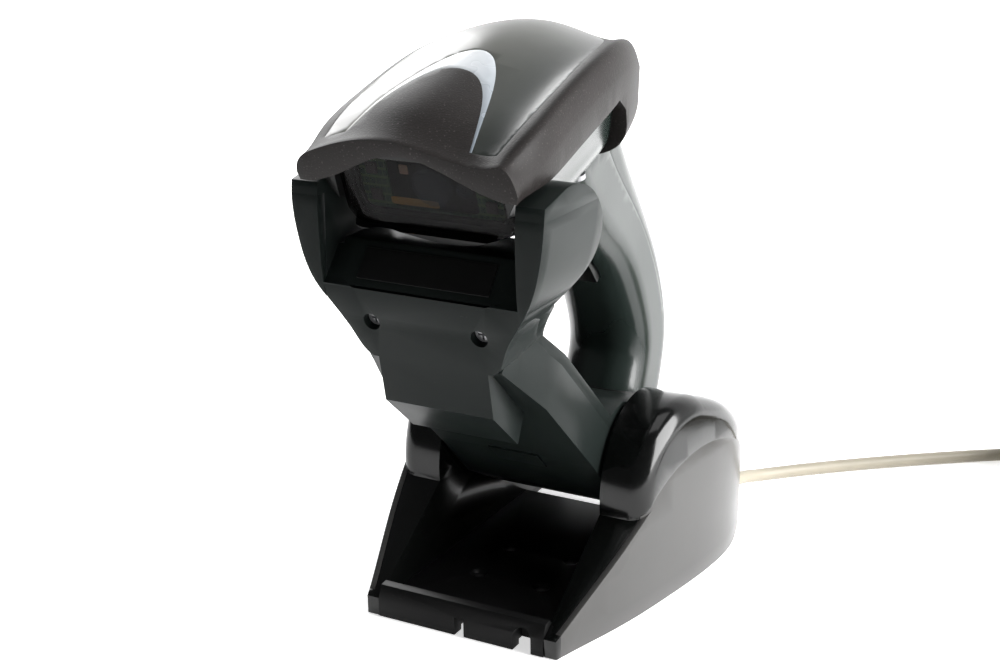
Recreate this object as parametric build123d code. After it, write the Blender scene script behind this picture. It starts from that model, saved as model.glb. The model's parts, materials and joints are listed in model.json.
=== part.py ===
from build123d import *
import math
import os

os.makedirs("parts", exist_ok=True)

# Handheld barcode scanner standing in its tilting charging cradle.
# Millimetres, +Z up, X to the right, +Y to the back. The drawing's zero is the
# middle of the base's front edge; everything is moved back by origin_shift when
# it is written, so that the origin is under the middle of the whole object.
origin_shift = -54.026

# ---- driving dimensions --------------------------------------------------
wall = 2.2                 # usual moulded wall
gap = 0.3                  # clearance between parts that move
seam = 0.1                 # clearance between parts that are assembled

cheek_inner = 29.5         # half the clear width between the base's cheeks
base_depth = 140.5
hub_y, hub_z = 68.5, 37.0  # tilt axis
hub_radius = 28.3
axle_radius = 6.0
running_fit = 0.06
floor_top = 4.7
floor_rear = 105.0
foot_height = 0.8
plate_top = 2.0
desk_hole_spacing_x = 23.0
desk_hole_spacing_y = 22.4
desk_hole_y = 46.4
desk_hole_radius = 2.0

beam_half_width = 28.0     # the cradle's sloping beam, between the cheeks
beam_slope = 42.0          # degrees below the horizontal, towards the back
beam_low, beam_seam, beam_high = 62.0, 76.8, 80.3   # its planes, from the zero point
chin_half_width = 18.2
ear_inner = 31.6

head_slope = 20.0          # the head rises towards the back
head_front_y, head_front_z = -27.0, 148.0
head_length = 121.5
handle_half_width = 15.5
handle_half_depth = 17.2
butt_y, butt_z = 103.0, 21.5
lift_y, lift_z = 0.363, 0.932   # the way the handle leaves its socket
socket_clearance = 0.6

cable_diameter = 4.8
coil_mean_radius = 24.7
coil_turn_columns = 3
coil_layers = 4


# ---- helpers -----------------------------------------------------------------
def side_face(*points):
    """A closed outline in the Y-Z plane."""
    return make_face(Polyline(*points, close=True))


def plan_face(*points):
    """A closed outline seen from above."""
    return make_face(Polyline(*points, close=True))


def across(face, x0, x1):
    """The Y-Z face carried across from x0 to x1."""
    return extrude(Plane.YZ.offset(x0) * face, amount=x1 - x0)


def upright(face, z0, z1):
    """The X-Y face carried up from z0 to z1."""
    return extrude(Plane.XY.offset(z0) * face, amount=z1 - z0)


def block(x0, x1, y0, y1, z0, z1):
    return Pos((x0 + x1) / 2, (y0 + y1) / 2, (z0 + z1) / 2) * Box(x1 - x0, y1 - y0, z1 - z0)


def biggest(shape):
    """The largest piece left after a cut."""
    return max(shape.solids(), key=lambda s: s.volume)


def rod_x(radius, x0, x1, y, z):
    return Pos((x0 + x1) / 2, y, z) * Rot(0, 90, 0) * Cylinder(radius, x1 - x0)


def rod_z(radius, x, y, z0, z1):
    return Pos(x, y, (z0 + z1) / 2) * Cylinder(radius, z1 - z0)


def rod_between(radius, start, end):
    start, end = Vector(*start), Vector(*end)
    plane = Plane(origin=start, z_dir=end - start)
    return extrude(plane * Circle(radius), amount=(end - start).length)


def mirrored(shape):
    return mirror(shape, about=Plane.YZ)


def write(name, *shapes):
    solids = [s for shape in shapes for s in shape.solids()]
    moved = [Pos(0, origin_shift, 0) * s for s in solids]
    export_step(moved[0] if len(moved) == 1 else Compound(children=moved), f"parts/{name}.step")


# ---- frames of the sloping pieces ---------------------------------------------
beam_cos, beam_sin = math.cos(math.radians(beam_slope)), math.sin(math.radians(beam_slope))
head_cos, head_sin = math.cos(math.radians(head_slope)), math.sin(math.radians(head_slope))


def on_beam(along, height):
    """A Y-Z point of the beam: along it towards the back, and out from the zero point."""
    return (beam_cos * along + beam_sin * height, -beam_sin * along + beam_cos * height)


def on_head(along, height):
    """A Y-Z point of the head: back from its front edge, and up from its hood's edge."""
    return (head_front_y + head_cos * along - head_sin * height,
            head_front_z + head_sin * along + head_cos * height)


def head_plane(along):
    """The head's cross plane: local x across, local y up."""
    y, z = on_head(along, 0)
    return Plane(origin=(0, y, z), x_dir=(1, 0, 0), z_dir=(0, -head_cos, -head_sin))


head_deck = Plane(origin=(0, head_front_y, head_front_z), x_dir=(1, 0, 0),
                  z_dir=(0, -head_sin, head_cos))

# ======================================================================== base
hub_start = math.radians(190)
hub_end = math.radians(70)
hub_front_point = (hub_y + hub_radius * math.cos(hub_start), hub_z + hub_radius * math.sin(hub_start))
hub_rear_point = (hub_y + hub_radius * math.cos(hub_end), hub_z + hub_radius * math.sin(hub_end))


def cheek_side():
    """Side outline: toe, sloping front, round hub, back that falls to the table."""
    toe = Polyline((base_depth, 0.3), (1, 0.3), (0.6, 6.5), (4, 8.3), hub_front_point)
    hub = ThreePointArc(hub_front_point, (hub_y + hub_radius * math.cos(math.radians(130)),
                                          hub_z + hub_radius * math.sin(math.radians(130))), hub_rear_point)
    back = Spline(hub_rear_point, (98, 55.6), (112, 46.8), (123, 36.5), (133, 21), (base_depth, 0.3),
                  tangents=[(0.94, -0.34), (0.2, -0.98)])
    return make_face([*toe.edges(), hub, back])


def cheek_plan():
    """Plan outline of the right cheek, closed at inner: it swells towards the back and rounds in."""
    outer = Spline((33.6, 0.3), (36.6, 11), (41.8, 29), (47.8, 58), (51.6, 85), (51.7, 104), (47.6, 122),
                   (40.5, 137), (34, 141.5))
    wall_line = Polyline((34, 141.5), (cheek_inner, 141.5), (cheek_inner, 0.3), (33.6, 0.3))
    return make_face([*outer.edges(), *wall_line.edges()])


def groove_region():
    """Everything of the cheek's side below the curved groove."""
    top = Spline((43.0, 34.5), (53, 41.8), (65, 46.2), (78, 47.3), (95, 43.8), (112, 36), (128, 24), (145, 12))
    edge = Polyline((145, 12), (145, -2), (3, -2), (3, 7.8), (43.0, 34.5))
    return make_face([*top.edges(), *edge.edges()])


panel_depth = 1.9
shoulder_radius = 7.0      # round outer edge of the hub and the back


def cheek_hollow():
    """The space inside the cheek moulding, open below."""
    side = make_face([*Polyline((134.5, -2), (9, -2), (9, 8.5), (45, 31.8), (44.6, 44.5)).edges(),
                      ThreePointArc((44.6, 44.5), (56.5, 59.6), (77.5, 61.0)),
                      *Polyline((77.5, 61.0), (96.5, 53.2), (110.4, 44.6), (121.0, 34.6), (130.2, 20.4),
                                (134.5, 6), (134.5, -2)).edges()])
    inner = cheek_inner + wall
    plan = plan_face((inner, 9), (34.0, 13), (38.0, 29), (43.6, 58), (47.2, 85), (47.2, 103), (43.2, 120),
                          (37.2, 133.5), (inner, 135))
    return across(side, 20, 60) & upright(plan, -2, 71)


def cheek_pieces():
    """The right cheek: a hollow moulding with its hub, and the side panel let into it."""
    whole = across(cheek_side(), 20, 60) & upright(cheek_plan(), -1, 70)
    shoulder = [e for e in whole.edges() if e.center().X > 44 and e.center().Z > 20]
    whole = fillet(shoulder, shoulder_radius)
    below_groove = across(groove_region(), 20, 60)
    panel = (whole - Pos(-panel_depth, 0, 0) * upright(cheek_plan(), -2, 71)) & below_groove
    panel = biggest(panel)
    recess = (whole - Pos(-panel_depth - seam, 0, 0) * upright(cheek_plan(), -2, 71)) & below_groove
    housing = whole - recess - cheek_hollow()
    housing = housing - rod_x(axle_radius + 3.0, cheek_inner - 1, cheek_inner + wall + 1, hub_y, hub_z)
    housing = biggest(housing)
    return housing, panel


right_housing, right_panel = cheek_pieces()

# the cable's way out through the back of the right cheek
cable_exit = (36.6, 139.0, 7.2)
cable_mouth = rod_between(4.2, (36.6, 118, 8.2), (36.6, 146, 8.2)) + block(32.4, 40.8, 118, 146, -1, 8.2)
right_housing = biggest(right_housing - cable_mouth)
right_panel = biggest(right_panel - cable_mouth)
left_housing, left_panel = mirrored(right_housing), mirrored(right_panel)


def base_tray():
    """Floor between the cheeks with a raised front lip, cable notches and desk screw holes."""
    half = cheek_inner - seam
    floor = block(-half, half, 6, floor_rear, plate_top, floor_top)
    lip = across(side_face((0.6, 0.3), (0.4, 6.4), (2.4, 10.6), (5.2, 10.9), (9.4, floor_top), (9.4, plate_top),
                           (5.0, plate_top), (5.0, 0.3)), -half, half)
    tray = floor + lip
    tray = tray - block(-1.6, 1.6, -1, 7, -1, 6.4)
    tray = tray - rod_between(3.1, (22.0, -1, 5.2), (22.0, 7, 5.2)) - block(18.9, 25.1, -1, 7, -1, 5.2)
    for hole in desk_holes():
        tray = tray - hole
    return tray


def desk_holes():
    """Four countersunk screw holes through the floor and the bottom plate."""
    holes = []
    for sx in (-1, 1):
        for sy in (-1, 1):
            x, y = sx * desk_hole_spacing_x / 2, desk_hole_y + sy * desk_hole_spacing_y / 2
            holes.append(rod_z(desk_hole_radius, x, y, -1, floor_top + 1))
            holes.append(Pos(x, y, floor_top - 0.3) * Cone(desk_hole_radius, desk_hole_radius + 1.4, 1.4))
    return holes


def bottom_plate():
    """One sheet that closes both cheeks and backs the floor."""
    half = cheek_inner + wall + 0.2
    middle = block(-half, half, 10.2, floor_rear - 5, foot_height, plate_top)
    cheek_cover = upright(plan_face((half, 11.2), (33.6, 13.6), (37.6, 29.4), (43.2, 58), (46.8, 85),
                                    (46.8, 102.8), (43.0, 118), (half, 118)), foot_height, plate_top)
    plate = middle + cheek_cover + mirrored(cheek_cover)
    for hole in desk_holes():
        plate = plate - hole
    return plate


tray = base_tray()
plate = bottom_plate()
plate_room = block(cheek_inner - 1, cheek_inner + wall + 1, 9.8, floor_rear - 4.8, 0, plate_top + seam)
right_housing = right_housing - plate_room
left_housing = left_housing - mirrored(plate_room)

screw_places = [(34.2, 24.0), (44.5, 92.0)]


def pan_screw(x, y):
    """A screw driven up through the bottom plate: round head, plain shank."""
    return rod_z(2.0, x, y, foot_height, foot_height + 0.9) + rod_z(1.1, x, y, foot_height + 0.9, 9.0)


base_screws = []
for x, y in screw_places:
    boss = rod_z(3.2, x, y, plate_top + seam, 13)
    right_housing = right_housing + boss
    left_housing = left_housing + mirrored(boss)
    for sign in (-1, 1):
        base_screws.append(pan_screw(sign * x, y))
right_housing = right_housing - right_panel
left_housing = left_housing - left_panel
for screw in base_screws:
    plate = plate - screw
    right_housing = right_housing - screw
    left_housing = left_housing - screw

rubber_feet = [rod_z(4.5, sx * x, y, 0, foot_height) for sx in (-1, 1) for x, y in ((21.5, 18.0), (39.5, 82.0))]
ballast = [block(sx * 37.0 - 4.0, sx * 37.0 + 4.0, 50, 80, plate_top + seam, 11) for sx in (-1, 1)]

bush = rod_x(axle_radius + 2.98, cheek_inner, cheek_inner + wall + 3.5, hub_y, hub_z)
bush = bush - rod_x(axle_radius + running_fit, cheek_inner - 1, cheek_inner + 10, hub_y, hub_z)
bushes = [bush, mirrored(bush)]

base_board = block(38.6, 40.2, 80, 116, 14.0, 34.0)
board_chips = [block(40.2, 41.8, 84, 92, 20, 28), block(40.2, 41.4, 98, 104, 20, 24)]
host_socket = block(32.0, 42.0, 101, 114, 2.4, 12.4) - block(32.8, 41.2, 104, 115, 3.2, 11.6)
plug_body = block(32.9, 41.1, 104.5, 120, 3.3, 11.5)
plug_boot = loft([Plane(origin=(36.8, 120, 7.4), z_dir=(0, 1, 0)) * Circle(3.8),
                  Plane(origin=(36.7, 130, 7.3), z_dir=(0, 1, 0)) * Circle(3.1),
                  Plane(origin=cable_exit, z_dir=(0, 1, 0)) * Circle(cable_diameter / 2 + 0.1)])

# ===================================================================== cradle
def beam_box(along0, along1, height0, height1, half):
    return across(side_face(on_beam(along0, height0), on_beam(along1, height0),
                            on_beam(along1, height1), on_beam(along0, height1)), -half, half)


def yoke_outline(inset=0.0):
    """Front view of the yoke: two ears that narrow into the neck."""
    right = [(40.2 - inset, 152), (40.2 - inset, 140), (38.6 - inset, 129), (35.2 - inset, 118.5),
             (30.2 - inset, 110.5), (25.0 - inset, 101.8), (22.8 - inset, 97.0), (20.0 - inset, 94.2)]
    top = Polyline((-right[0][0], 152), (right[0][0], 152))
    bottom = Polyline((right[-1][0], 94.2), (-right[-1][0], 94.2))
    right_edge = Spline(*right)
    left_edge = Spline(*[(-x, z) for x, z in reversed(right)])
    return make_face([top.edge(), *right_edge.edges(), bottom.edge(), *left_edge.edges()])


def from_front(face, y0, y1):
    """An X-Z face carried back from y0 to y1."""
    plane = Plane(origin=(0, y0, 0), x_dir=(1, 0, 0), z_dir=(0, -1, 0))
    return extrude(plane * face, amount=-(y1 - y0))


ear_front = [(-13.6, 94.2), (-17.7, 105.4), (-21.4, 117), (-22.8, 130), (-23.2, 143), (-22.8, 146.8)]
ear_back = [(-12.5, 149.2), (-3.1, 150.0), (5.0, 147.6), (12.4, 141.6), (16.2, 134), (14.8, 124.9),
            (6.3, 117.5), (-2.0, 112.0), (-9, 103)]


def ear_side():
    face = make_face([*Spline(*ear_front).edges(), Line(ear_front[-1], ear_back[0]),
                      *Spline(*ear_back).edges(), Line(ear_back[-1], ear_front[0])])
    return face


neck_side = side_face((-13.6, 94.2), (-17.7, 105.4), (-21.4, 117), (-20.6, 117.6), (-12.6, 126.8), (-9.6, 126.6),
                      (-1.5, 118), on_beam(-60, beam_high), on_beam(-60, beam_low))


def yoke_solid():
    """Ears and neck together, solid."""
    outline = from_front(yoke_outline(), -30, 30)
    ears = across(ear_side(), ear_inner, 45)
    ears = (ears + mirrored(ears)) & outline
    neck = across(neck_side, -ear_inner - 0.01, ear_inner + 0.01) & outline
    return ears + neck


def chin_solid():
    return across(side_face((-13.6, 94.2), (-14.2, 95.9), (-3.0, 96.2), on_beam(-44, beam_low + 2), (5.2, 66.5),
                            (-10.3, 79.6)),
                  -chin_half_width, chin_half_width)


body_end = 8.0     # where the beam runs into the hub body
beam_plane = Plane(origin=(0, *on_beam(0, beam_low)), x_dir=(1, 0, 0), z_dir=(0, beam_sin, beam_cos))
beam_plan = plan_face((beam_half_width, body_end), (beam_half_width, -50), (23.8, -66), (22.2, -73), (-22.2, -73),
                      (-23.8, -66), (-beam_half_width, -50), (-beam_half_width, body_end))
beam_solid = extrude(beam_plane * beam_plan, amount=beam_high - beam_low)

body_points = [on_beam(body_end - 12, beam_low), (57.5, 30.5), (68.0, 24.6), (80.0, 18.6), (88.0, 14.6),
               (102.0, 8.6), (124.0, 7.2), (133.0, 16.0), (136.6, 34.0), (131.0, 42.5), (60.0, 64.0),
               on_beam(body_end - 12, beam_high)]
body_solid = across(side_face(*body_points), -beam_half_width, beam_half_width)
body_solid = fillet(body_solid.edges().filter_by(Axis.X).group_by(Axis.Y)[-1], 5.0)

opening = from_front(make_face(Polyline((-29.3, 160), (-29.3, 123), (-27.5, 119), (-21.5, 116.6), (21.5, 116.6),
                                        (27.5, 119), (29.3, 123), (29.3, 160), close=True)), -30, 30)

# hollows of the neck, beam, hub body and ears
neck_hollow = across(side_face((-11.0, 97.5), (-15.2, 105.8), (-18.4, 114.5), (-11.6, 122.6), (-9.6, 122.4),
                               (-3.6, 115.8), on_beam(-50, beam_high - 2.2), on_beam(-50, beam_low + 2.4)),
                     -19.6, 19.6)
beam_hollow = beam_box(-52, -2, beam_low + 2.4, beam_high - 2.2, beam_half_width - 2.6)
body_hollow = across(side_face(on_beam(-6, beam_low + 2.4), (59.0, 33.4), (68.6, 27.6), (81, 21.6), (88.8, 17.4),
                               (102.6, 11.2), (123, 9.8), (130.4, 17.2), (133.7, 33.4), (128.6, 40.4),
                               (60.4, 60.9), on_beam(-6, beam_high - 2.2)),
                     -beam_half_width + 2.6, beam_half_width - 2.6)
ear_hollow = across(side_face((-16.5, 112), (-20.4, 126), (-20.8, 142), (-11.8, 146.8), (-3.2, 147.6), (3.6, 145.4),
                              (10.2, 140), (13.8, 133.4), (12.4, 126), (5, 119.6), (-3, 114.2)),
                    ear_inner + 2.2, 45) & from_front(yoke_outline(2.6), -30, 30)
hollows = [neck_hollow, beam_hollow, body_hollow, ear_hollow, mirrored(ear_hollow)]

butt_plane = Plane(origin=(0, butt_y, butt_z), x_dir=(1, 0, 0), z_dir=(0, lift_y, lift_z))


def butt_prism(grow, start, end):
    """The handle's straight lower end, grown all round, from start to end along the way out."""
    section = RectangleRounded(2 * (handle_half_width + grow), 2 * (handle_half_depth + grow), 12.5 + grow)
    return extrude(butt_plane.offset(start) * section, amount=end - start)


socket_bore = butt_prism(socket_clearance, -0.4, 70)
socket_outside = butt_prism(socket_clearance + 1.8, -3.4, 70)

holder = yoke_solid() + chin_solid() + beam_solid + body_solid
ledge = across(side_face((-20.8, 117.2), (-11.9, 128.6), (-5.0, 128.9), (8.0, 129.1), (9.0, 126.8), (-2.0, 113.0)),
               -29.6, 29.6)
holder = holder - opening + ledge
for hollow in hollows:
    holder = holder - hollow
holder = holder - socket_outside

# the rear shell: ledge and inner walls of the yoke, a strip along the beam, and the deck
ledge_region = across(side_face((-21.6, 116.8), (-9.5, 131.5), (12, 132), (14, 112), on_beam(-56, beam_high + 8),
                                on_beam(-56, beam_seam), (-4.0, 110.0), (-17.6, 114.5)), -ear_inner, ear_inner)
ear_wall_region = block(-ear_inner - 2.2, ear_inner + 2.2, -19.5, 20, 112, 155)
ear_rim_region = block(-50, 50, -30, 30, 143, 155)
strip_region = across(side_face(on_beam(-58, beam_seam), on_beam(3, beam_seam), on_beam(8, beam_high + 8),
                                on_beam(-58, beam_high + 8)), -50, 50)
deck_region = across(side_face((58.0, 61.9), (130.0, 40.1), (150, 40.1), (150, 90), (56, 90)), -50, 50)
rear_cut = ledge_region + ear_wall_region + ear_rim_region + strip_region + deck_region
holder_rear_shell = holder & rear_cut
holder_front_shell = holder - rear_cut
holder_front_shell = biggest(holder_front_shell)

# tilt axle: a shaft in the two bushes, a plain drum round it inside the body, friction rings and clips
shaft_hole = rod_x(axle_radius + 0.02, -29, 29, hub_y, hub_z)
holder_front_shell = holder_front_shell - shaft_hole
tilt_drum = rod_x(7.6, -25.2, 25.2, hub_y, hub_z) - shaft_hole
tilt_axle = rod_x(axle_radius, -cheek_inner - 5.4, cheek_inner + 5.4, hub_y, hub_z)
tilt_axle = tilt_axle + rod_x(4.5, -cheek_inner - 8.4, cheek_inner + 8.4, hub_y, hub_z)
friction_ring = rod_x(8.4, 28.3, 29.2, hub_y, hub_z) - rod_x(axle_radius + 0.05, 28, 30, hub_y, hub_z)
axle_clip = rod_x(8.6, 35.9, 36.9, hub_y, hub_z) - rod_x(4.52, 35, 38, hub_y, hub_z)

# socket for the handle's end, with the contact block under it
handle_socket = socket_outside - socket_bore
deck_cut = across(side_face((40, 70.4), (150, 37.1), (150, 120), (40, 120)), -50, 50)
handle_socket = handle_socket - deck_cut
socket_floor_window = extrude(butt_plane.offset(-4) * Rectangle(15, 13), amount=5)
handle_socket = biggest(handle_socket - socket_floor_window)
contact_block = extrude(butt_plane.offset(-4.6) * Rectangle(14.8, 12.8), amount=3.6)
pin_places = [(-4.5, 0), (-1.5, 0), (1.5, 0), (4.5, 0)]
charging_pins = []
for x, y in pin_places:
    contact_block = contact_block - extrude(butt_plane.offset(-3.6) * Pos(x, y) * Circle(0.95), amount=4)
    charging_pins.append(extrude(butt_plane.offset(-2.6) * Pos(x, y) * Circle(0.88), amount=2.2))
contact_board = extrude(butt_plane.offset(-6.2) * Rectangle(22, 18), amount=1.6)

# blank plate on the yoke's sloping ledge
blank_panel = across(side_face((-18.6, 118.6), (-12.6, 126.4), (-13.5, 127.1), (-19.5, 119.3)), -21.5, 21.5)
holder_rear_shell = holder_rear_shell - blank_panel

# recessed screws on the yoke's face
yoke_screws = []
for sx in (-1, 1):
    axis_plane = Plane(origin=(sx * 17.7, -18.6, 105.8), x_dir=(1, 0, 0), z_dir=(0, 0.96, 0.28))
    recess = extrude(axis_plane.offset(-3) * Circle(2.7), amount=6.2)
    boss = extrude(axis_plane.offset(1.2) * Circle(4.0), amount=13) & across(neck_side, -30, 30)
    boss = boss - ledge_region
    holder_front_shell = holder_front_shell + boss - recess
    screw = extrude(axis_plane.offset(3.2) * Circle(2.4), amount=1.8)
    screw = screw + extrude(axis_plane.offset(5.0) * Circle(1.2), amount=7.0)
    slot_cut = extrude(axis_plane.offset(3.0) * (Rectangle(3.2, 0.7) + Rectangle(0.7, 3.2)), amount=1.0)
    holder_front_shell = holder_front_shell - screw
    yoke_screws.append(screw - slot_cut)
holder_front_shell = biggest(holder_front_shell)

# tilt release button in the beam's underside, with its return spring
button_half_width = 8.7
button_travel = 1.5
holder_front_shell = holder_front_shell - beam_box(-6.3, 4.0, beam_low - 2, beam_low + 2.5, button_half_width + gap)
tilt_button = beam_box(-6.0, 3.7, beam_low - 0.5, beam_low + 3.6, button_half_width)
tilt_button = tilt_button + beam_box(-7.4, 5.1, beam_low + 2.75, beam_low + 3.6, button_half_width - 1)
spring_start = beam_low + 3.6 + button_travel + 0.4


def beam_ring(along, height, ring_radius, wire_radius):
    """A wire ring lying flat on the beam's slope."""
    y, z = on_beam(along, height)
    return Plane(origin=(0, y, z), x_dir=(1, 0, 0), z_dir=(0, beam_sin, beam_cos)) * Torus(ring_radius, wire_radius)


button_spring = [beam_ring(-1.2, spring_start + 0.4 + 1.9 * i, 2.6, 0.4) for i in range(6)]

# ==================================================================== scanner
# stations along the head: distance back, half width, crown height, underside height
head_stations = [(0, 34.9, 15.6, -19), (14, 35.8, 16.8, -23), (34, 35.8, 17.0, -29.5), (54, 35.2, 15.8, -31.5),
                 (74, 33.6, 12.6, -33), (88, 30.6, 8.0, -34.5), (101, 26.0, 0.8, -36), (111, 20.0, -8.4, -37.2),
                 (118, 13.0, -18.0, -38), (head_length, 7.0, -25.0, -37)]


def head_section(half, crown, under, tuck):
    """Closed cross outline: crowned top, rounded shoulders, sides tucked in to a flatter underside."""
    height = crown - under
    side_top = crown - min(13.0, 0.42 * height)
    side_low = under + 0.30 * height
    low_half = half * tuck
    top = Spline((-half, side_top), (-0.78 * half, side_top + 0.62 * (crown - side_top)), (0, crown),
                 (0.78 * half, side_top + 0.62 * (crown - side_top)), (half, side_top),
                 tangents=[(0.1, 1), (0.1, -1)])
    right = Line((half, side_top), (low_half, side_low))
    base = Spline((low_half, side_low), (0.72 * low_half, under + 0.05 * height), (0, under),
                  (-0.72 * low_half, under + 0.05 * height), (-low_half, side_low),
                  tangents=[(-0.2, -1), (-0.2, 1)])
    left = Line((-low_half, side_low), (-half, side_top))
    return make_face([top, right, base, left])


def head_loft(side_inset, crown_inset, under_inset, start, tuck, shorten=0.0):
    """The head as one smooth solid, drawn in from its outside by the insets."""
    faces = []
    for i, (along, half, crown, under) in enumerate(head_stations):
        along = start if i == 0 else along - shorten * (along / head_length) ** 3
        faces.append(head_plane(along) * head_section(half - side_inset, crown - crown_inset,
                                                      under + under_inset, tuck))
    return loft(faces)


head_outer = head_loft(0, 0, 0, 0, 0.92)
head_core = head_loft(2.7, 2.5, -0.5, 6.0, 0.82, shorten=6.5)
head_inner = head_loft(5.0, 4.8, 1.8, 12.5, 0.82, shorten=10.0)

# bumper: the skin above the hood's edge and round the tail
hood_points = [on_head(-5, 0.2), on_head(0, 0.2), on_head(18, -3.3), on_head(34, -4.4), on_head(51, -5.4),
               on_head(70, -6.8), on_head(77, -14), on_head(80, -30), on_head(86, -60), on_head(150, -60),
               on_head(150, 60), on_head(-5, 60)]
hood_region = across(side_face(*hood_points), -50, 50)


def head_front_face(points):
    """An outline in the head's cross plane, facing the front."""
    return make_face([*Spline(*points, tangents=[(0.9, 0.25), (0.9, -0.25)]).edges(),
                      *Polyline(points[-1], (points[-1][0], -60), (points[0][0], -60), points[0]).edges()])


arch = head_front_face([(-33.2, -0.5), (-24, 2.2), (-12, 8.0), (0, 11.2), (12, 8.0), (24, 2.2), (33.2, -0.5)])
arch_cut = extrude(head_plane(-3) * arch, amount=-13.2)
bumper = (head_outer - head_core - arch_cut) & hood_region
bumper = biggest(bumper)


def horseshoe(tip_x, tip_along, apex_along, rise):
    """Half widths of a curved outline that runs from one tip over the apex to the other."""
    count = 6
    points = []
    for i in range(-count, count + 1):
        share = i / count
        points.append((tip_x * share, apex_along - (apex_along - tip_along) * abs(share) ** rise))
    return Spline(*points)


def deck_prism(face, low, high):
    return extrude(head_deck.offset(low) * face, amount=high - low)


plate_edge = Spline((-27.2, 6.0), (-28.6, 30), (-28.2, 52), (-25.8, 74), (-19.5, 91), (-9, 99.5), (0, 101.5),
                    (9, 99.5), (19.5, 91), (25.8, 74), (28.2, 52), (28.6, 30), (27.2, 6.0))
light_outer = horseshoe(19.6, 6.0, 53.0, 2.0)
light_inner = horseshoe(19.0, 6.0, 40.0, 2.4)
plate_face = make_face([plate_edge, Line((27.2, 6.0), (19.6, 6.0)), light_outer, Line((-19.6, 6.0), (-27.2, 6.0))])
light_face = make_face([light_outer, Line((19.6, 6.0), (19.0, 6.0)), light_inner, Line((-19.0, 6.0), (-19.6, 6.0))])
lowered = Pos(0, 1.5 * head_sin, -1.5 * head_cos) * head_outer
top_skin = head_outer - lowered
plate_prism = deck_prism(plate_face, -20, 30)
light_prism = deck_prism(light_face, -20, 30)
top_plate = top_skin & plate_prism & hood_region
top_plate = biggest(top_plate)
light_guide = top_skin & light_prism & hood_region
light_guide = biggest(light_guide)
bumper = bumper - top_plate - light_guide
bumper = biggest(bumper)


def deck_rod(radius, x, along, low, high):
    """A round rod standing on the head's slope, from height low to high."""
    return extrude(head_deck.offset(low) * Pos(x, along) * Circle(radius), amount=high - low)


def deck_block(x0, x1, along0, along1, low, high):
    """A box square to the head's slope."""
    face = Pos((x0 + x1) / 2, (along0 + along1) / 2) * Rectangle(x1 - x0, along1 - along0)
    return extrude(head_deck.offset(low) * face, amount=high - low)


# ---- handle ----
# centre line (y, z) from inside the head down to the butt, with the section's width and depth
handle_line = [(52.0, 155.0, 37.0, 42.0), (64.0, 142.5, 36.0, 44.0), (76.0, 130.0, 34.0, 40.5),
               (88.5, 118.7, 32.2, 36.6), (100.6, 106.0, 31.0, 34.4), (109.5, 93.0, 31.0, 34.4),
               (115.8, 80.0, 31.0, 34.4), (118.7, 68.0, 31.0, 34.4), (116.9, 57.0, 31.0, 34.4),
               (112.2, 45.1, 31.0, 34.4), (107.7, 33.5, 31.0, 34.4), (103.0, 21.5, 31.0, 34.4)]


def handle_tangent(i):
    """Unit direction of the centre line at its point i, towards the butt."""
    if i >= len(handle_line) - 3:
        return -lift_y, -lift_z
    before, after = handle_line[max(i - 1, 0)], handle_line[i + 1]
    dy, dz = after[0] - before[0], after[1] - before[1]
    size = math.hypot(dy, dz)
    return dy / size, dz / size


def handle_loft(inset):
    """The curved handle as one smooth solid, drawn in by the inset."""
    faces = []
    for i, (y, z, width, depth) in enumerate(handle_line):
        ty, tz = handle_tangent(i)
        plane = Plane(origin=(0, y, z), x_dir=(1, 0, 0), z_dir=(0, ty, tz))
        faces.append(plane * RectangleRounded(width - 2 * inset, depth - 2 * inset, 12.5 - inset))
    return loft(faces)


def seam_side():
    """Everything behind the curved seam of the handle's two shells."""
    line = []
    for i, (y, z, width, depth) in enumerate(handle_line):
        ty, tz = handle_tangent(i)
        behind = 4.0 + 4.0 * i / (len(handle_line) - 1)
        line.append((y - tz * behind, z + ty * behind))
    line.append((line[-1][0] - 6 * lift_y, line[-1][1] - 6 * lift_z))
    return make_face([*Spline(*line).edges(),
                      *Polyline(line[-1], (170, line[-1][1]), (170, 190), (line[0][0], 190), line[0]).edges()])


handle_outer = handle_loft(0)
handle_inner = handle_loft(2.2)
cap_room = butt_prism(10, -20, 4.0 + seam)
handle_shell = biggest(handle_outer - handle_inner - cap_room - head_core - bumper)
behind_seam = across(seam_side(), -30, 30)
handle_rear_shell = biggest(handle_shell & behind_seam)
handle_front_shell = biggest(handle_shell - behind_seam)
butt_cap = butt_prism(0, 0, 4.0)
contact_strips = []
for x, y in pin_places:
    strip = extrude(butt_plane * Pos(x, y) * Rectangle(2.2, 8.0), amount=0.5)
    butt_cap = butt_cap - strip
    contact_strips.append(strip)

# ---- trigger on the handle's front, with its pin, spring and switch ----
pin_y, pin_z = 66.5, 120.5
trigger_half_width = 7.0
trigger_side = side_face((60.5, 121), (68, 112.5), (77, 103.5), (85, 95), (88, 97.5), (80, 107), (71, 116.5),
                         (64, 124))
slot_side = side_face((56.0, 119.0), (67, 108.0), (82.2, 92.1), (92.1, 100.4), (84.0, 112.0), (73.5, 123),
                      (66.0, 127.6), (59.6, 121.9))
trigger_slot = across(slot_side, -trigger_half_width - 0.4, trigger_half_width + 0.4)
pin_boss = rod_x(3.2, trigger_half_width + 0.5, 11.5, pin_y, pin_z)
pin_bosses = (pin_boss + mirrored(pin_boss)) - head_core
trigger_pin = rod_x(1.5, -11.0, 11.0, pin_y, pin_z)
handle_front_shell = biggest(handle_front_shell - trigger_slot + pin_bosses - trigger_pin)
trigger = across(trigger_side, -trigger_half_width, trigger_half_width)
trigger = trigger + rod_x(3.0, -trigger_half_width, trigger_half_width, pin_y, pin_z)
trigger = trigger - rod_x(1.56, -12, 12, pin_y, pin_z) - rod_x(3.6, -2.4, 2.4, pin_y, pin_z)
trigger = biggest(trigger)
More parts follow.
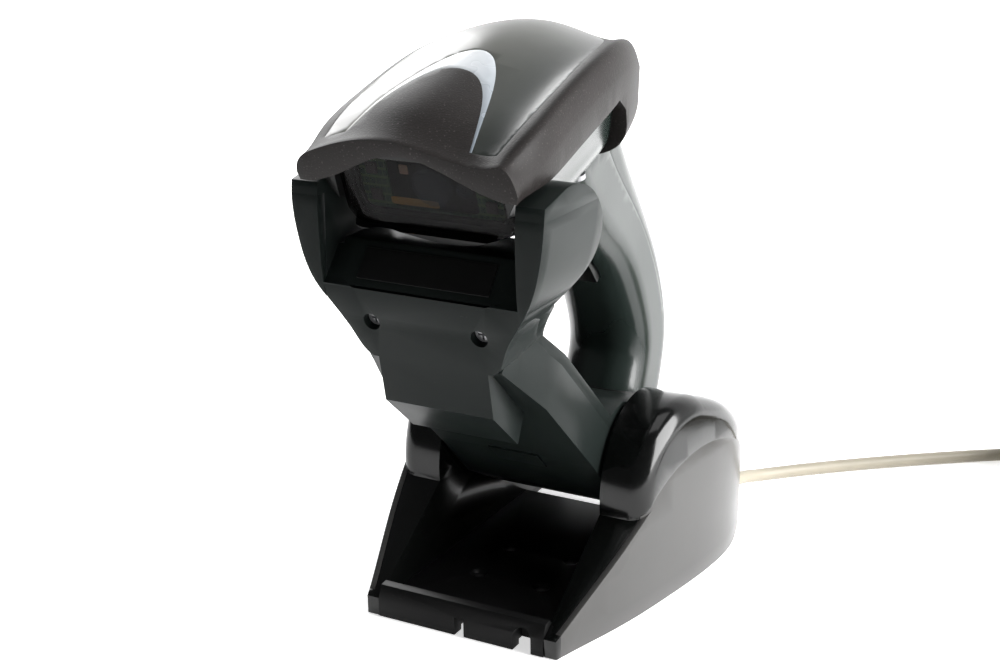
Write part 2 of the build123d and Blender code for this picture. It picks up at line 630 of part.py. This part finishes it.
trigger_spring = [Pos(x, pin_y, pin_z) * Rot(0, 90, 0) * Torus(2.3, 0.3) for x in (-1.4, -0.7, 0, 0.7, 1.4)]
switch_plane = Plane(origin=(0, 81.6, 108.5), x_dir=(1, 0, 0), z_dir=(0, 0.72, 0.69))
micro_switch = extrude(switch_plane.offset(0.7) * Rectangle(6.4, 12.0), amount=6.0)
micro_switch = micro_switch + extrude(switch_plane * Rectangle(2.0, 3.0), amount=0.8)

# ---- head shells, window and optics ----
nose_region = extrude(head_plane(-1) * Rectangle(90, 140), amount=-16.0)
seam_region = across(side_face(on_head(-10, -12.3), on_head(30, -12.3), on_head(50, -15.6), on_head(74, -18.1),
                               on_head(150, -25), on_head(150, -90), on_head(-10, -90)), -50, 50)
head_wall = head_core - head_inner
nose_bezel = biggest(head_wall & nose_region)
head_upper_shell = biggest(head_wall - nose_region - seam_region)
head_lower_shell = biggest((head_wall - nose_region) & seam_region)
head_lower_shell = biggest(head_lower_shell - handle_inner)
window_centre = -6.0


def window_block(width, height, radius, front, back):
    """A rounded block square to the head's axis, centred on the window."""
    face = Pos(0, window_centre) * RectangleRounded(width, height, radius)
    return extrude(head_plane(front) * face, amount=-(back - front))


scan_window = window_block(53.8, 23.8, 5.9, 8.6, 10.0)
nose_bezel = nose_bezel - window_block(54.0, 24.0, 6.0, 4.0, 11.2) - window_block(48, 18.5, 4, 3, 16)
window_gasket = window_block(53.6, 23.6, 5.8, 10.0, 11.2) - window_block(48, 18.5, 4, 9, 12)
engine_housing = deck_block(-17, 17, 14.5, 39.0, window_centre - 9.2, window_centre + 9.2)
lens_y, lens_z = on_head(12.0, window_centre)
engine_lens = extrude(head_plane(12.2) * Pos(0, window_centre) * Circle(6.0), amount=-2.3)
aiming_lamp = extrude(head_plane(12.6) * Pos(10.5, window_centre) * Circle(2.4), amount=-1.9)
illumination_board = window_block(46, 17.5, 3, 12.9, 13.7) - window_block(28, 16, 2, 12, 15)
lamp_blocks = [extrude(head_plane(12.1) * Pos(x, window_centre + y) * Rectangle(3.4, 3.4), amount=-0.8)
               for x in (-18.6, 18.6) for y in (-4.4, 4.4)]
main_board = deck_block(-18, 18, 42, 88, -14.0, -12.4)
board_parts = [deck_block(-9, 5, 50, 64, -12.4, -10.6), deck_block(8, 16, 50, 58, -12.4, -10.8),
               deck_block(-16, -11, 66, 78, -12.4, -9.6)]
sounder = deck_rod(6.0, 12.0, 76, -12.4, -8.0)
battery = extrude(butt_plane.offset(8.0) * RectangleRounded(20, 19, 6), amount=40.0)

# three slanted sounder slots in each side of the head
for sign in (-1, 1):
    for i in range(3):
        slot = Pos(75.0 + 2.6 * i, -13.6) * Rot(0, 0, 24) * RectangleRounded(1.2, 4.6, 0.55)
        y, z = on_head(0, 0)
        side = Plane(origin=(0, y, z), x_dir=(0, head_cos, head_sin), z_dir=(1, 0, 0)).offset(sign * 20)
        head_upper_shell = head_upper_shell - extrude(side * slot, amount=sign * 20)

# four screws through the lower shell into the upper one
scanner_screws = []
for x, along, seat in ((-22.5, 24, -20.5), (22.5, 24, -20.5), (-22.0, 58, -26.0), (22.0, 58, -26.0)):
    post = deck_rod(3.2, x, along, -32, 12) & head_core
    post = post - deck_rod(2.6, x, along, -40, seat)
    head_lower_shell = head_lower_shell - deck_rod(2.6, x, along, -40, seat)
    head_lower_shell = head_lower_shell + ((post & seam_region) - nose_region)
    head_upper_shell = head_upper_shell + (post - seam_region)
    screw = deck_rod(2.2, x, along, seat - 1.6, seat) + deck_rod(1.1, x, along, seat, -4)
    head_lower_shell = head_lower_shell - screw
    head_upper_shell = head_upper_shell - screw
    scanner_screws.append(screw)

# ======================================================================= cable
coil_pitch = cable_diameter + 0.1
coil_centre = (160.0, 215.2)
coil_floor = 0.75
coil_reach = coil_pitch * coil_turn_columns / 2
coil_top = coil_floor + coil_layers * coil_pitch
coil_section = Pos(coil_mean_radius, (coil_floor + coil_top) / 2) * RectangleRounded(
    2 * coil_reach, coil_top - coil_floor, 2.2)
cable_coil = Pos(*coil_centre, 0) * revolve(Plane.XZ * coil_section, Axis.Z)
coil_outer_turn = coil_mean_radius + coil_pitch
cable_route = [cable_exit, (37.2, 149.0, 6.4), (42.0, 161.5, 3.7), (54.0, 177.0, 2.6), (74.0, 195.0, 2.5),
               (97.0, 213.5, 2.5), (122.0, 231.5, 2.6), (143.0, 242.0, 2.9),
               (156.0, coil_centre[1] + coil_outer_turn, 3.2)]
tail_route = [(coil_centre[0] + coil_outer_turn, coil_centre[1] + 4.0, coil_top - coil_pitch / 2),
              (191.4, 205.0, 17.2), (196.5, 190.0, 11.6), (198.0, 176.0, 5.8), (197.0, 163.0, 4.1)]


def bend_radii(route):
    """The largest arcs that still leave a tenth of each run straight."""
    radii = []
    for before, here, after in zip(route, route[1:], route[2:]):
        first, second = Vector(*here) - Vector(*before), Vector(*after) - Vector(*here)
        turn = math.radians(first.get_angle(second))
        radii.append(0.45 * min(first.length, second.length) / math.tan(turn / 2))
    return radii


def tube_along(route, diameter):
    radii = bend_radii(route)
    line = FilletPolyline(*route, radius=radii)
    print("bend radii", [round(r, 1) for r in radii], "length", round(line.length, 1))
    return sweep(Plane(origin=route[0], z_dir=line % 0) * Circle(diameter / 2), path=line)


cable_tube = biggest(tube_along(cable_route, cable_diameter) - cable_coil - plug_boot)
tie_block = Pos(coil_centre[0], coil_centre[1] - coil_mean_radius, (coil_top + 0.7) / 2 + 0.05) * Box(
    3.6, 2 * coil_reach + 1.6, coil_top + 0.7)
cable_tie = tie_block - cable_coil
plug_plane = Plane(origin=tail_route[-1], x_dir=(13.0, -1.0, 0.0), z_dir=(-1.0, -13.0, 0.0))
usb_boot = extrude(plug_plane * Circle(3.4), amount=9.0)
usb_boot = usb_boot + extrude(plug_plane.offset(9.0) * RectangleRounded(16.0, 8.0, 3.0), amount=22.0)
cable_tail = biggest(tube_along(tail_route, cable_diameter) - cable_coil - usb_boot)
usb_plug = extrude(plug_plane.offset(31.0) * RectangleRounded(12.0, 4.5, 0.6), amount=17.5)
usb_plug = usb_plug - extrude(plug_plane.offset(35.0) * Pos(0, 1.0) * Rectangle(11.2, 1.7), amount=20.0)

# ======================================================================= output
write("base_tray", tray)
write("bottom_plate", plate)
write("right_cheek_housing", right_housing)
write("left_cheek_housing", left_housing)
write("right_side_panel", right_panel)
write("left_side_panel", left_panel)
write("pivot_bushes", *bushes)
write("base_screws", *base_screws)
write("rubber_feet", *rubber_feet)
write("ballast_weights", *ballast)
write("base_board", base_board, *board_chips)
write("host_socket", host_socket)
write("holder_front_shell", holder_front_shell)
write("holder_rear_shell", holder_rear_shell)
write("blank_panel", blank_panel)
write("yoke_screws", *yoke_screws)
write("tilt_drum", tilt_drum)
write("tilt_axle", tilt_axle)
write("friction_rings", friction_ring, mirrored(friction_ring))
write("axle_clips", axle_clip, mirrored(axle_clip))
write("handle_socket", handle_socket)
write("contact_block", contact_block)
write("contact_board", contact_board)
write("charging_pins", *charging_pins)
write("tilt_button", tilt_button)
write("button_spring", *button_spring)
write("bumper", bumper)
write("top_plate", top_plate)
write("light_guide", light_guide)
write("nose_bezel", nose_bezel)
write("head_upper_shell", head_upper_shell)
write("head_lower_shell", head_lower_shell)
write("handle_front_shell", handle_front_shell)
write("handle_rear_shell", handle_rear_shell)
write("butt_cap", butt_cap)
write("contact_strips", *contact_strips)
write("scan_window", scan_window)
write("window_gasket", window_gasket)
write("engine_housing", engine_housing)
write("engine_lens", engine_lens)
write("aiming_lamp", aiming_lamp)
write("illumination_board", illumination_board)
write("lamp_blocks", *lamp_blocks)
write("main_board", main_board)
write("board_parts", *board_parts)
write("sounder", sounder)
write("battery", battery)
write("trigger", trigger)
write("trigger_pin", trigger_pin)
write("trigger_spring", *trigger_spring)
write("micro_switch", micro_switch)
write("scanner_screws", *scanner_screws)
write("plug_body", plug_body)
write("plug_boot", plug_boot)
write("cable_tube", cable_tube)
write("cable_coil", cable_coil)
write("cable_tail", cable_tail)
write("cable_tie", cable_tie)
write("usb_boot", usb_boot)
write("usb_plug", usb_plug)
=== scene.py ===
import json
import math
import bpy
import numpy as np
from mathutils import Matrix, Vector


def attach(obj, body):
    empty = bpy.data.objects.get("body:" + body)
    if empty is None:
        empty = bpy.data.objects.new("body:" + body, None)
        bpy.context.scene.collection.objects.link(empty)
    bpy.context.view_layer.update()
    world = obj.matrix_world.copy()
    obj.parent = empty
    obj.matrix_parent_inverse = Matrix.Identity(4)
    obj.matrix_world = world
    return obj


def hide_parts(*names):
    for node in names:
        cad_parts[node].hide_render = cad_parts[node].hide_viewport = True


# A handheld barcode scanner resting in its tilting charging cradle.
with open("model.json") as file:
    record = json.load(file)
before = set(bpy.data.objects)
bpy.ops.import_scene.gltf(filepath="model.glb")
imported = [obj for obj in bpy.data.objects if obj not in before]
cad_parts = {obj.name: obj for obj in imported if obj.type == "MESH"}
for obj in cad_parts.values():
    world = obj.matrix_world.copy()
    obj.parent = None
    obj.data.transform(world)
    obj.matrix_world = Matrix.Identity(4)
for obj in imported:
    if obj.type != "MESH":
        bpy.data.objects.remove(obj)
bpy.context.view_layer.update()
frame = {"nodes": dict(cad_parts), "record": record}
nodes = frame["nodes"]

viewpoint = {"azimuth": 27.91, "elevation": 17.70, "lens": 59.4, "place": (0.2285, -0.45733, 0.2484)}


def placeCamera(v):
    a, e = math.radians(v["azimuth"]), math.radians(v["elevation"])
    looking = Vector((-math.sin(a) * math.cos(e), math.cos(a) * math.cos(e), -math.sin(e)))
    data = bpy.data.cameras.new("camera")
    data.lens, data.sensor_width = v["lens"], 36.0
    camera = bpy.data.objects.new("camera", data)
    bpy.context.scene.collection.objects.link(camera)
    camera.location = v["place"]
    camera.rotation_mode = "QUATERNION"
    camera.rotation_quaternion = looking.to_track_quat("-Z", "Y")
    bpy.context.scene.camera = camera


placeCamera(viewpoint)

# ---- the cable: out of the right cheek, across the table, into a tied coil ----
cable = {"diameter": 0.0048, "length": 2.13, "coilCentre": (0.160, 0.161174), "coilRadius": 0.0247,
         "pitch": 0.0049, "floor": 0.0032, "turns": 12, "pointsPerTurn": 20}
cableRoute = [(0.0366, 0.084974, 0.0072), (0.0372, 0.094974, 0.0064), (0.042, 0.107474, 0.0037),
              (0.054, 0.122974, 0.0026), (0.074, 0.140974, 0.0025), (0.097, 0.159474, 0.0025),
              (0.122, 0.177474, 0.0026), (0.143, 0.187974, 0.0029), (0.154, 0.1903, 0.0031)]
tailRoute = [(0.1914, 0.150974, 0.0172), (0.1965, 0.135974, 0.0116), (0.198, 0.121974, 0.0058),
             (0.197, 0.108974, 0.0041)]


def coilPoints(c):
    # flat spirals laid on each other: every turn keeps its column and layer, and one crossing per turn
    # moves it to the next place; upper layers cross earlier in the turn, so that no two cords meet
    columns = [1, 0, -1, -1, 0, 1] * 2
    layers = [0, 0, 0, 1, 1, 1, 2, 2, 2, 3, 3, 3]
    points = []
    for turn in range(c["turns"]):
        column, layer = columns[turn], layers[turn]
        last = turn == c["turns"] - 1
        nextColumn = column if last else columns[turn + 1]
        nextLayer = layer if last else layers[turn + 1]
        phase = 2 * (3 - layer) if nextLayer == layer else 2 * (3 - layer) - 1
        for step in range(c["pointsPerTurn"]):
            share = step / c["pointsPerTurn"]
            s = min(1.0, max(0.0, share * 7.4 - phase))
            s = s * s * (3 - 2 * s)
            radius = c["coilRadius"] + c["pitch"] * (column + s * (nextColumn - column))
            height = c["floor"] + c["pitch"] * (layer + s * (nextLayer - layer))
            angle = math.radians(90) - 2 * math.pi * share
            points.append((c["coilCentre"][0] + radius * math.cos(angle),
                           c["coilCentre"][1] + radius * math.sin(angle), height))
    outer = c["coilRadius"] + c["pitch"]
    for angle in np.radians(np.linspace(90, 0, 6)):
        points.append((c["coilCentre"][0] + outer * math.cos(angle), c["coilCentre"][1] + outer * math.sin(angle),
                       c["floor"] + 3 * c["pitch"]))
    return points


def cordCurve(name, points, diameter):
    curve = bpy.data.curves.new(name, "CURVE")
    curve.dimensions = "3D"
    spline = curve.splines.new("NURBS")
    spline.points.add(len(points) - 1)
    for point, place in zip(spline.points, points):
        point.co = (*place, 1.0)
        point.radius = diameter / 2
    spline.order_u = 3
    spline.use_endpoint_u = True
    curve.resolution_u = 6
    curve.bevel_depth = 1.0
    curve.bevel_resolution = 6
    curve.use_fill_caps = True
    piece = bpy.data.objects.new(name, curve)
    bpy.context.scene.collection.objects.link(piece)
    return piece


cablePoints = cableRoute + coilPoints(cable) + tailRoute
cableCord = cordCurve("cable", cablePoints, cable["diameter"])
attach(cableCord, "base")
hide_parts("cable_tube", "cable_coil", "cable_tail")
print("cable placed")


# ---- finishes ----
class Wire:
    # a shader value that can be used in sums
    def __init__(self, maker, socket):
        self.maker, self.socket = maker, socket

    def __add__(self, other):
        return self.maker.node("ShaderNodeMath", {"operation": "ADD"}, self, other)

    def __sub__(self, other):
        return self.maker.node("ShaderNodeMath", {"operation": "SUBTRACT"}, self, other)

    def __mul__(self, other):
        return self.maker.node("ShaderNodeMath", {"operation": "MULTIPLY"}, self, other)

    def __truediv__(self, other):
        return self.maker.node("ShaderNodeMath", {"operation": "DIVIDE"}, self, other)

    def __rsub__(self, other):
        return self.maker.node("ShaderNodeMath", {"operation": "SUBTRACT"}, other, self)

    __radd__, __rmul__ = __add__, __mul__

    def clamp(self):
        return self.maker.node("ShaderNodeClamp", {}, self)


class Finish:
    # one material, its nodes added by type
    def __init__(self, name):
        self.material = bpy.data.materials.new(name)
        self.material.use_nodes = True
        self.tree = self.material.node_tree
        self.shader = self.tree.nodes["Principled BSDF"]

    def node(self, kind, settings, *values, out=0, **named):
        made = self.tree.nodes.new(kind)
        for key, value in settings.items():
            if key == "stops":
                ramp = made.color_ramp
                while len(ramp.elements) < len(value):
                    ramp.elements.new(0.5)
                for element, (place, colour) in zip(ramp.elements, value):
                    element.position = place
                    element.color = (*colour, 1) if len(colour) == 3 else colour
            else:
                setattr(made, key, value)
        for i, value in enumerate(values):
            self.feed(made.inputs[i], value)
        for key, value in named.items():
            self.feed(made.inputs[key.replace("_", " ")], value)
        return Wire(self, made.outputs[out])

    def feed(self, socket, value):
        if isinstance(value, Wire):
            self.tree.links.new(value.socket, socket)
        elif isinstance(value, tuple) and len(value) == 3 and len(socket.default_value) == 4:
            socket.default_value = (*value, 1)
        else:
            socket.default_value = value

    def place(self):
        return self.node("ShaderNodeTexCoord", {}, out=3)

    def noise(self, scale, detail=3.0, roughness=0.55, vector=None):
        return self.node("ShaderNodeTexNoise", {}, Vector=vector or self.place(), Scale=scale, Detail=detail,
                         Roughness=roughness)

    def stretched(self, scale):
        return self.node("ShaderNodeMapping", {}, Vector=self.place(), Scale=scale)

    def ramp(self, value, *stops):
        return self.node("ShaderNodeValToRGB", {"stops": stops}, value)

    def between(self, value, low, high):
        return self.node("ShaderNodeMapRange", {}, value, low, high, 0.0, 1.0)

    def mixColour(self, factor, first, second):
        made = self.tree.nodes.new("ShaderNodeMix")
        made.data_type = "RGBA"
        self.feed(made.inputs[0], factor)
        self.feed(made.inputs[6], first)
        self.feed(made.inputs[7], second)
        return Wire(self, made.outputs[2])

    def bump(self, height, strength, distance, under=None):
        extra = {"Normal": under} if under else {}
        return self.node("ShaderNodeBump", {}, Height=height, Strength=strength, Distance=distance, **extra)

    def finish(self, **sockets):
        for key, value in sockets.items():
            self.feed(self.shader.inputs[key.replace("_", " ")], value)
        return self.material


def mouldedPlastic(name, base, worn, rough, grainScale=2600, grainDepth=0.00002, metallic=0.0, coat=0.0, specular=0.5,
                   scuffs=0.06, paintedLightRamp=None):
    # spark-eroded mould grain, cloudy gloss, a few fine pale scuffs; the optional ramp paints highlight and shade
    # as a slow change of colour along one axis: the axis, its first and last place, and the ramp's stops
    f = Finish(name)
    grain = f.noise(grainScale, 2.0, 0.6)
    cloud = f.noise(38, 3.0, 0.5)
    scratch = f.node("ShaderNodeTexNoise", {}, Vector=f.stretched((1.0, 6.0, 2.0)), Scale=210, Detail=4.0)
    scuff = f.between(scratch, 0.72, 0.78).clamp()
    tint = f.mixColour(f.between(cloud, 0.35, 0.65).clamp(), base, tuple(c * 1.13 for c in base))
    # painted highlight and shade: the ramp replaces the even tint along the given axis
    if paintedLightRamp:
        axis, start, end, stops = paintedLightRamp
        along = f.node("ShaderNodeSeparateXYZ", {}, f.place(), out=axis)
        tint = f.ramp(f.between(along, start, end) + (cloud - 0.5) * 0.12, *stops)
    colour = f.mixColour(scuff * scuffs, tint, worn)
    roughness = cloud * 0.10 + (rough - 0.05) + scuff * 0.10
    return f.finish(Base_Color=colour, Roughness=roughness, Normal=f.bump(grain, 0.5, grainDepth), Metallic=metallic,
                    Coat_Weight=coat, Specular_IOR_Level=specular)


def rubberSkin(name, base, speck, rough, scale=1500):
    # soft moulded rubber: dense matt pimples with paler specks of dust caught in them
    f = Finish(name)
    pimple = f.node("ShaderNodeTexVoronoi", {}, Vector=f.place(), Scale=scale)
    fine = f.noise(scale * 2.2, 2.0)
    cloud = f.noise(30, 2.0)
    dust = f.between(f.noise(scale * 1.3, 1.0), 0.66, 0.74).clamp()
    tint = f.mixColour(f.between(cloud, 0.3, 0.7).clamp(), base, tuple(c * 1.25 for c in base))
    colour = f.mixColour(dust * 0.45, tint, speck)
    height = pimple * -0.7 + fine * 0.4
    return f.finish(Base_Color=colour, Roughness=cloud * 0.12 + (rough - 0.06), Normal=f.bump(height, 0.55, 0.00008),
                    Specular_IOR_Level=0.12)


def machinedMetal(name, base, rough, grainAxis=(60.0, 60.0, 4.0), depth=0.00002):
    # turned or drawn metal with fine lines and slight tarnish
    f = Finish(name)
    lines = f.node("ShaderNodeTexNoise", {}, Vector=f.stretched(grainAxis), Scale=60, Detail=5.0)
    cloud = f.noise(90, 3.0)
    colour = f.mixColour(cloud, base, tuple(c * 0.78 for c in base))
    return f.finish(Base_Color=colour, Roughness=lines * 0.16 + (rough - 0.06), Metallic=1.0,
                    Normal=f.bump(lines, 0.35, depth))


def circuitBoard(name):
    # green solder mask over copper tracks
    f = Finish(name)
    tracks = f.node("ShaderNodeTexBrick", {"offset": 0.5}, Vector=f.place(), Scale=260, Color1=(1, 1, 1),
                    Color2=(0.8, 0.8, 0.8), Mortar=(0, 0, 0), Mortar_Size=0.04)
    mask = f.between(tracks, 0.2, 0.6).clamp()
    colour = f.mixColour(mask, (0.10, 0.20, 0.06), (0.012, 0.085, 0.035))
    return f.finish(Base_Color=colour, Roughness=0.34, Normal=f.bump(mask, 0.3, 0.00003), Coat_Weight=0.3)


def darkGlass(name, tint, rough=0.02, clear=0.9):
    f = Finish(name)
    smear = f.noise(60, 4.0)
    return f.finish(Base_Color=tint, Roughness=smear * 0.04 + rough, Transmission_Weight=clear, IOR=1.47,
                    Normal=f.bump(smear, 0.05, 0.00002))


def smokedWindow(name, tint, opacity):
    # thin filter sheet: nearly black, a little of the optics shows through
    f = Finish(name)
    smear = f.noise(60, 4.0)
    return f.finish(Base_Color=tint, Roughness=smear * 0.05 + 0.04, Alpha=opacity, Specular_IOR_Level=0.10)


finishes = {
    "holderSatin": mouldedPlastic("holderSatin", (0.0066, 0.0086, 0.0080), (0.26, 0.27, 0.26), 0.31,
                                  specular=0.085),
    "baseGloss": mouldedPlastic("baseGloss", (0.0016, 0.0018, 0.0017), (0.12, 0.12, 0.12), 0.16,
                                grainDepth=0.000004, coat=0.10, specular=0.30),
    "trayMatte": mouldedPlastic("trayMatte", (0.0022, 0.0022, 0.0023), (0.10, 0.10, 0.10), 0.46, specular=0.12),
    "panelSatin": mouldedPlastic("panelSatin", (0.034, 0.033, 0.032), (0.3, 0.3, 0.3), 0.32, metallic=0.15,
                                 specular=0.45),
    "hoodRubber": rubberSkin("hoodRubber", (0.0095, 0.0082, 0.0078), (0.08, 0.07, 0.068), 0.46),
    "plateSatin": mouldedPlastic("plateSatin", (0.06, 0.06, 0.054), (0.30, 0.30, 0.28), 0.30,
                                 grainDepth=0.00001, coat=0.05, specular=0.30,
                                 # painted highlight on the -x side, fading to painted shade on the +x side
                                 paintedLightRamp=(0, -0.030, 0.030, ((0.0, (0.075, 0.074, 0.058)), (0.45, (0.040, 0.041, 0.034)),
                                                            (1.0, (0.012, 0.0155, 0.0148))))),
    "guideSilver": mouldedPlastic("guideSilver", (0.42, 0.47, 0.50), (0.7, 0.7, 0.7), 0.26, metallic=0.15,
                                  grainDepth=0.000008, coat=0.1,
                                  # painted highlight along the middle, with painted shade and reflection tints at both
                                  # sides
                                  paintedLightRamp=(0, -0.020, 0.020, ((0.0, (0.20, 0.195, 0.17)), (0.5, (0.46, 0.48, 0.50)),
                                                             (1.0, (0.16, 0.19, 0.22))))),
    "shellGloss": mouldedPlastic("shellGloss", (0.0095, 0.0135, 0.0120), (0.25, 0.26, 0.25), 0.20,
                                 grainDepth=0.000004, coat=0.1, specular=0.32),
    "blackSatin": mouldedPlastic("blackSatin", (0.0030, 0.0031, 0.0030), (0.10, 0.10, 0.10), 0.34, specular=0.2),
    "footRubber": rubberSkin("footRubber", (0.010, 0.010, 0.010), (0.08, 0.08, 0.08), 0.66),
    "windowGlass": smokedWindow("windowGlass", (0.0012, 0.0010, 0.0010), 0.55),
    "lensGlass": darkGlass("lensGlass", (0.65, 0.75, 0.95)),
    "boardGreen": circuitBoard("boardGreen"),
    "labelPale": mouldedPlastic("labelPale", (0.80, 0.52, 0.38), (0.9, 0.7, 0.6), 0.5),
    "flexGold": mouldedPlastic("flexGold", (0.62, 0.34, 0.07), (0.8, 0.6, 0.3), 0.35, metallic=0.2),
    "lampWhite": mouldedPlastic("lampWhite", (0.10, 0.09, 0.08), (0.2, 0.2, 0.2), 0.5),
    "steel": machinedMetal("steel", (0.36, 0.36, 0.37), 0.34),
    "castZinc": machinedMetal("castZinc", (0.30, 0.30, 0.31), 0.52, (8.0, 8.0, 8.0), 0.0001),
    "goldPlate": machinedMetal("goldPlate", (0.83, 0.62, 0.26), 0.22),
    "batteryWrap": mouldedPlastic("batteryWrap", (0.03, 0.08, 0.22), (0.3, 0.3, 0.3), 0.3),
    "clearPlug": mouldedPlastic("clearPlug", (0.62, 0.62, 0.60), (0.8, 0.8, 0.8), 0.16, coat=0.4),
    "sheathGrey": mouldedPlastic("sheathGrey", (0.225, 0.205, 0.160), (0.4, 0.38, 0.32), 0.42,
                                 specular=0.3),
    "plugShell": machinedMetal("plugShell", (0.68, 0.68, 0.69), 0.16),
}
nodeFinish = {"holder_plastic": "holderSatin", "base_plastic": "baseGloss", "tray_plastic": "trayMatte",
              "panel_plastic": "panelSatin", "hood_rubber": "hoodRubber", "plate_plastic": "plateSatin",
              "guide_plastic": "guideSilver", "shell_plastic": "shellGloss", "black_plastic": "blackSatin",
              "window_glass": "windowGlass", "lens_glass": "lensGlass", "circuit_board": "boardGreen",
              "lamp_white": "lampWhite", "steel": "steel", "zinc_weight": "castZinc", "gold_contact": "goldPlate",
              "foot_rubber": "footRubber", "battery_wrap": "batteryWrap", "clear_plastic": "clearPlug",
              "cable_sheath": "sheathGrey", "plug_shell": "plugShell"}


def dressNode(node, finish, bevel=0.0):
    # joins the loose facets, rounds the sharp edges a little and shades the rest smooth
    mesh = node.data
    mesh.materials.clear()
    mesh.materials.append(finish)
    mesh.polygons.foreach_set("use_smooth", np.ones(len(mesh.polygons), bool))
    mesh.polygons.foreach_set("material_index", np.zeros(len(mesh.polygons), np.int32))
    weld = node.modifiers.new("weld", "WELD")
    weld.merge_threshold = 0.000004
    if bevel:
        rounding = node.modifiers.new("bevel", "BEVEL")
        rounding.width, rounding.segments, rounding.limit_method = bevel, 2, "ANGLE"
        rounding.angle_limit = math.radians(38)
        rounding.use_clamp_overlap = True
    split = node.modifiers.new("split", "EDGE_SPLIT")
    split.split_angle = math.radians(32)


edgeRounding = {"holder_front_shell": 0.0009, "holder_rear_shell": 0.0006, "base_tray": 0.0005,
                "right_cheek_housing": 0.0005, "left_cheek_housing": 0.0005, "right_side_panel": 0.0005,
                "left_side_panel": 0.0005, "bumper": 0.0007, "top_plate": 0.0003, "light_guide": 0.0003,
                "blank_panel": 0.0003, "handle_socket": 0.0005, "handle_front_shell": 0.0003,
                "handle_rear_shell": 0.0003, "trigger": 0.0004, "nose_bezel": 0.0003}
for entry in frame["record"]["subparts"]:
    node = entry["node"]
    dressNode(nodes[node], finishes[nodeFinish[entry["material_slot"]]], edgeRounding.get(node, 0.0))
cableCord.data.materials.append(finishes["sheathGrey"])
print("finishes on")


# ---- table, backdrop and lights ----
def surface(name, u, v, shape):
    # a grid over u and v, each point given by shape(u, v) as whole arrays
    gridU, gridV = np.meshgrid(u, v, indexing="ij")
    points = np.stack(shape(gridU, gridV), axis=-1).reshape(-1, 3)
    rows, columns = len(u), len(v)
    first = (np.arange(rows - 1)[:, None] * columns + np.arange(columns - 1)[None, :]).ravel()
    faces = np.stack([first, first + columns, first + columns + 1, first + 1], axis=1)
    mesh = bpy.data.meshes.new(name)
    mesh.from_pydata(points.tolist(), [], faces.tolist())
    mesh.polygons.foreach_set("use_smooth", np.ones(len(faces), bool))
    made = bpy.data.objects.new(name, mesh)
    bpy.context.scene.collection.objects.link(made)
    return made


def inHead(x, along, height):
    # a place given square to the head's own slope, in metres
    y = head["front"][0] + head["cos"] * along - head["sin"] * height
    z = head["front"][1] + head["sin"] * along + head["cos"] * height
    return x, y, z


head = {"front": (-0.081026, 0.148), "cos": math.cos(math.radians(20)), "sin": math.sin(math.radians(20))}
opticsPads = [
    {"name": "decode_label", "middle": (-0.0091, 0.01425, -0.0022), "half": (0.0014, 0.0002, 0.0015),
     "finish": "labelPale", "slot": "lamp_white"},
    {"name": "flex_strip", "middle": (-0.0063, 0.01255, -0.0117), "half": (0.0078, 0.0002, 0.0012),
     "finish": "flexGold", "slot": "gold_contact"},
]
squareness = 0.25


def roundedPad(pad):
    # a cushion-shaped small plate: sines and cosines raised to a low power, keeping their sign
    def shape(u, v):
        power = lambda value: np.sign(value) * np.abs(value) ** squareness
        x = pad["middle"][0] + pad["half"][0] * power(np.cos(v)) * power(np.cos(u))
        along = pad["middle"][1] + pad["half"][1] * power(np.cos(v)) * power(np.sin(u))
        height = pad["middle"][2] + pad["half"][2] * power(np.sin(v))
        return inHead(x, along, height)
    made = surface(pad["name"], np.linspace(0, 2 * math.pi, 49), np.linspace(-math.pi / 2, math.pi / 2, 25), shape)
    closing = made.modifiers.new("close", "WELD")
    closing.merge_threshold = 0.000002
    made.data.materials.append(finishes[pad["finish"]])
    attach(made, "scanner")


for pad in opticsPads:
    roundedPad(pad)
print("optics detail placed")

backdrop = {"reach": 2.4, "curveStart": 0.9, "curve": 0.7, "height": 2.0}


def sweepUp(u, v):
    # flat table, then a quarter round at the back, then a wall
    turn = np.clip((v - backdrop["curveStart"]) / backdrop["curve"], 0, math.pi / 2)
    beyond = np.maximum(v - backdrop["curveStart"] - backdrop["curve"] * math.pi / 2, 0)
    y = np.minimum(v, backdrop["curveStart"]) + backdrop["curve"] * np.sin(turn)
    z = backdrop["curve"] * (1 - np.cos(turn)) + beyond
    return u, y, z


table = surface("table", np.linspace(-3, 3, 3), np.linspace(-2.4, 4.0, 90), sweepUp)
paper = Finish("tablePaper")
table.data.materials.append(paper.finish(Base_Color=paper.mixColour(paper.noise(9, 2.0), (0.88, 0.88, 0.88),
                                                                    (0.91, 0.91, 0.91)), Roughness=0.8,
                                         Specular_IOR_Level=0.1, Emission_Color=(1.0, 1.0, 1.0),
                                         Emission_Strength=0.62))


def softLight(name, place, target, size, power, tint=(1, 1, 1)):
    data = bpy.data.lights.new(name, "AREA")
    data.shape, data.size, data.size_y, data.energy, data.color = "RECTANGLE", size[0], size[1], power, tint
    lamp = bpy.data.objects.new(name, data)
    bpy.context.scene.collection.objects.link(lamp)
    lamp.location = place
    lamp.rotation_mode = "QUATERNION"
    lamp.rotation_quaternion = (Vector(target) - Vector(place)).to_track_quat("-Z", "Y")


softLight("rightBox", (1.15, 0.15, 0.55), (0, 0, 0.08), (0.9, 1.1), 56)
softLight("leftBox", (-1.05, 0.85, 0.80), (0, 0, 0.08), (0.8, 0.8), 13)
softLight("overBox", (0.30, 0.10, 1.60), (0, 0, 0.08), (0.9, 0.9), 5)
world = bpy.data.worlds.new("room")
bpy.context.scene.world = world
world.use_nodes = True
world.node_tree.nodes["Background"].inputs["Color"].default_value = (0.95, 0.97, 1.0, 1)
world.node_tree.nodes["Background"].inputs["Strength"].default_value = 0.10
bpy.context.scene.view_settings.view_transform = "Standard"
print("stage lit")
